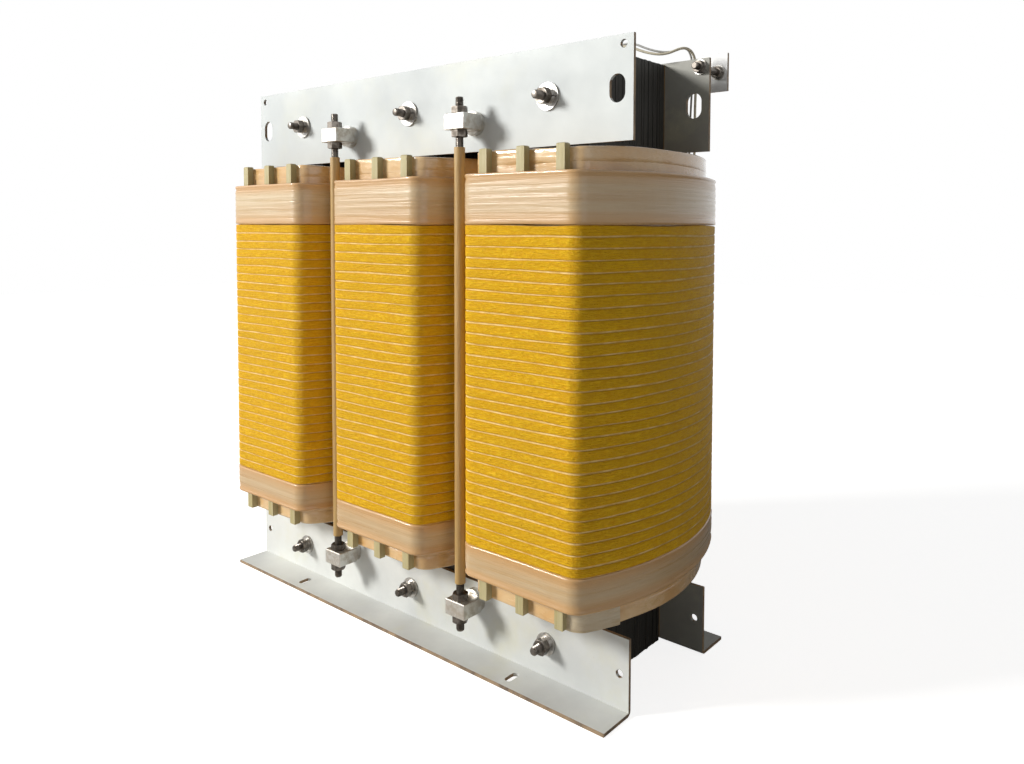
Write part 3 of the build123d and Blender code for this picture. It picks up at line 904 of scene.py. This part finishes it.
collar_edges = [
    corner[2]
    for collar in ("hv_collar_bottom_left", "hv_collar_top_left")
    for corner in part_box(collar)
]
collar_resin = taped_resin(
    "collar_resin", colour(0.60, 0.47, 0.29), colour(0.52, 0.34, 0.16), colour(0.38, 0.16, 0.03),
    burnt=0.54, gloss=0.34, coat=0.6, along=3.0, across=60.0, amber_heights=collar_edges,
)
lv_resin = taped_resin(
    "lv_resin", colour(0.74, 0.52, 0.27), colour(0.64, 0.36, 0.12), colour(0.44, 0.18, 0.02),
    burnt=0.56, gloss=0.22, coat=0.8, along=14.0, across=14.0,
)
stick_glass = taped_resin(
    "stick_glass", colour(0.48, 0.42, 0.23), colour(0.40, 0.34, 0.15), colour(0.32, 0.22, 0.08),
    burnt=0.72, gloss=0.45, coat=0.1, along=160.0, across=9.0,
)
rod_glass = taped_resin(
    "rod_glass", colour(0.48, 0.32, 0.12), colour(0.38, 0.23, 0.075), colour(0.22, 0.11, 0.03),
    burnt=0.62, gloss=0.4, coat=0.2, along=160.0, across=7.0,
)
board = taped_resin(
    "board", colour(0.20, 0.13, 0.06), colour(0.13, 0.08, 0.035), colour(0.06, 0.035, 0.015),
    burnt=0.6, gloss=0.5, coat=0.1, along=30.0, across=30.0,
)
loose_tape = taped_resin(
    "loose_tape", colour(0.60, 0.52, 0.38), colour(0.50, 0.38, 0.22), colour(0.40, 0.24, 0.10),
    burnt=0.66, gloss=0.28, coat=0.6, along=12.0, across=40.0,
)
print("collars turn amber near", [round(edge, 3) for edge in collar_edges])

# %% [markdown]
# ## Leads and grommet
# The covers of the leads are smooth plastic, cream and grey, and the grommet is black
# rubber. Handling leaves fine dust on them, so each colour has small patches of a darker
# tone and is never one flat value.

# %% Leads and grommet
dust_tone = 0.7


def plain_cover(name, base_colour, roughness):
    material, tree, shader = new_material(name, Roughness=roughness)
    dust = use_group(tree, stains, Scale=160.0, Low=0.45, High=0.8)
    dusty = colour(*(dust_tone * channel for channel in base_colour[:3]))
    tree.links.new(mix_colour(tree, dust, base_colour, dusty), shader.inputs["Base Color"])
    return material


lead_cream = plain_cover("lead_cream", colour(0.80, 0.74, 0.58), 0.5)
lead_grey = plain_cover("lead_grey", colour(0.60, 0.60, 0.58), 0.45)
grommet = plain_cover("grommet", colour(0.03, 0.03, 0.03), 0.5)
leads["cream"].data.materials.append(lead_cream)
leads["grey"].data.materials.append(lead_grey)
print("leads covered")

# %% [markdown]
# ## Dressing the pieces
# The record names a material slot for every piece of the frame, so one table from slot to
# finish dresses them all. Only the zinc sheets differ from place to place: the feet are
# paler and more stained, the rear clamps and the rear foot take a darker copy of the zinc
# that is painted shade, and the corner brackets a paler copy that is painted light.

# %% Dress the frame's own pieces
by_slot = {
    "core_steel": core_steel,
    "zinc_sheet": zinc_clamp,
    "bright_hardware": bright_steel,
    "dark_hardware": dark_steel,
    "lug_steel": lug_steel,
    "rod_tube": rod_glass,
    "pressboard": board,
    "lv_resin": lv_resin,
    "hv_tape": hv_tape,
    "collar_resin": collar_resin,
    "duct_stick": stick_glass,
    "gland_plastic": grommet,
    "lead_cream": lead_cream,
    "lead_grey": lead_grey,
}
zinc_by_node = {
    "bottom_clamp_front": zinc_foot,
    "bottom_clamp_rear": zinc_rear,
    "top_clamp_rear": zinc_rear,
    "rear_bracket_left": zinc_bracket,
    "rear_bracket_right": zinc_bracket,
}
for entry in frame["record"]["subparts"]:
    finish = zinc_by_node.get(entry["node"], by_slot[entry["material_slot"]])
    materials = nodes[entry["node"]].data.materials
    materials.clear()
    materials.append(finish)
print("dressed", len(nodes), "pieces of the frame")

# %% Dress the new pieces
wound_finish = {"turns": hv_tape, "collar": collar_resin, "lip": lv_resin}
for name, piece in wound.items():
    piece.data.materials.append(wound_finish[name.split("_")[0]])
tape_end.data.materials.append(loose_tape)
for piece in bars.values():
    piece.data.materials.append(dark_steel)
for piece in yokes.values():
    piece.data.materials.append(core_steel)
print("dressed", len(wound) + len(bars) + len(yokes) + 1, "new pieces")

# %% [markdown]
# ## Floor
# The object stands on plain white. A lamp strong enough to make the floor white would burn
# out the clamps, so the camera alone sees a faint glow added to a grey floor. The grey
# keeps the object's shadow, and no extra light falls on the object.

# %% Floor
sheet = bmesh.new()
bmesh.ops.create_grid(sheet, x_segments=1, y_segments=1, size=6.0)
floor_mesh = bpy.data.meshes.new("floor")
sheet.to_mesh(floor_mesh)
sheet.free()
floor = bpy.data.objects.new("floor", floor_mesh)
scene.collection.objects.link(floor)

floor_paint, tree, shader = new_material("floor_paint", Roughness=0.9)
haze = use_group(tree, stains, Scale=2.0, Low=0.2, High=0.9)
paint = mix_colour(tree, haze, colour(0.80, 0.80, 0.80), colour(0.76, 0.76, 0.76))
tree.links.new(paint, shader.inputs["Base Color"])
paths = add_node(tree, "ShaderNodeLightPath")
glow = add_node(tree, "ShaderNodeEmission", {"Color": colour(1.0, 1.0, 1.0), "Strength": 0.82})
lit = add_node(tree, "ShaderNodeAddShader", {0: shader.outputs[0], 1: glow.outputs[0]})
seen = add_node(
    tree, "ShaderNodeMixShader",
    {0: paths.outputs["Is Camera Ray"], 1: shader.outputs[0], 2: lit.outputs[0]},
)
surface = tree.nodes["Material Output"].inputs["Surface"]
tree.links.new(seen.outputs[0], surface)
floor_mesh.materials.append(floor_paint)
print("floor", tuple(round(side, 1) for side in floor.dimensions), "m")

# %% [markdown]
# ## Lights
# The key lamp stands far off to the front left and rakes over the windings, so their fronts
# glow with their grain and their right-hand sides fall into a warm shade. Far off, it lights
# the top and bottom alike. A weak, wide lamp on the right keeps that shade from going black.
# The white background comes from the world as camera, glossy and transmission rays see it,
# and only a tenth of it lights the object.

# %% Lights
def soft_light(name, place, aim, size, power, tint):
    """A square lamp of a size in metres, turned from its place towards its aim."""
    data = bpy.data.lights.new(name, "AREA")
    data.shape = "SQUARE"
    data.size = size
    data.energy = power
    data.color = tint
    lamp = bpy.data.objects.new(name, data)
    scene.collection.objects.link(lamp)
    lamp.location = place
    lamp.rotation_euler = (Vector(aim) - Vector(place)).to_track_quat("-Z", "Y").to_euler()
    return lamp


lamps = [
    soft_light(
        "key", place=(-3.3, -3.8, 2.4), aim=(0.0, 0.0, 0.36), size=1.3, power=340.0,
        tint=(1.0, 0.98, 0.94),
    ),
    soft_light(
        "side_fill", place=(2.6, -1.1, 1.0), aim=(0.1, 0.0, 0.35), size=1.6, power=5.5,
        tint=(1.0, 0.96, 0.90),
    ),
]
print("lamps:", [lamp.name for lamp in lamps])

# %% White background
world = bpy.data.worlds.new("world")
world.use_nodes = True
scene.world = world
tree = world.node_tree
background = tree.nodes["Background"]
paths = add_node(tree, "ShaderNodeLightPath")
seen = math_node(
    tree, "MAXIMUM", paths.outputs["Is Camera Ray"], paths.outputs["Is Transmission Ray"]
)
seen = math_node(tree, "MAXIMUM", seen, paths.outputs["Is Glossy Ray"])
background.inputs["Color"].default_value = colour(1.0, 1.0, 1.0)
tree.links.new(between(tree, seen, 0.10, 1.0), background.inputs["Strength"])
scene.view_settings.view_transform = "Standard"
print("view transform:", scene.view_settings.view_transform)
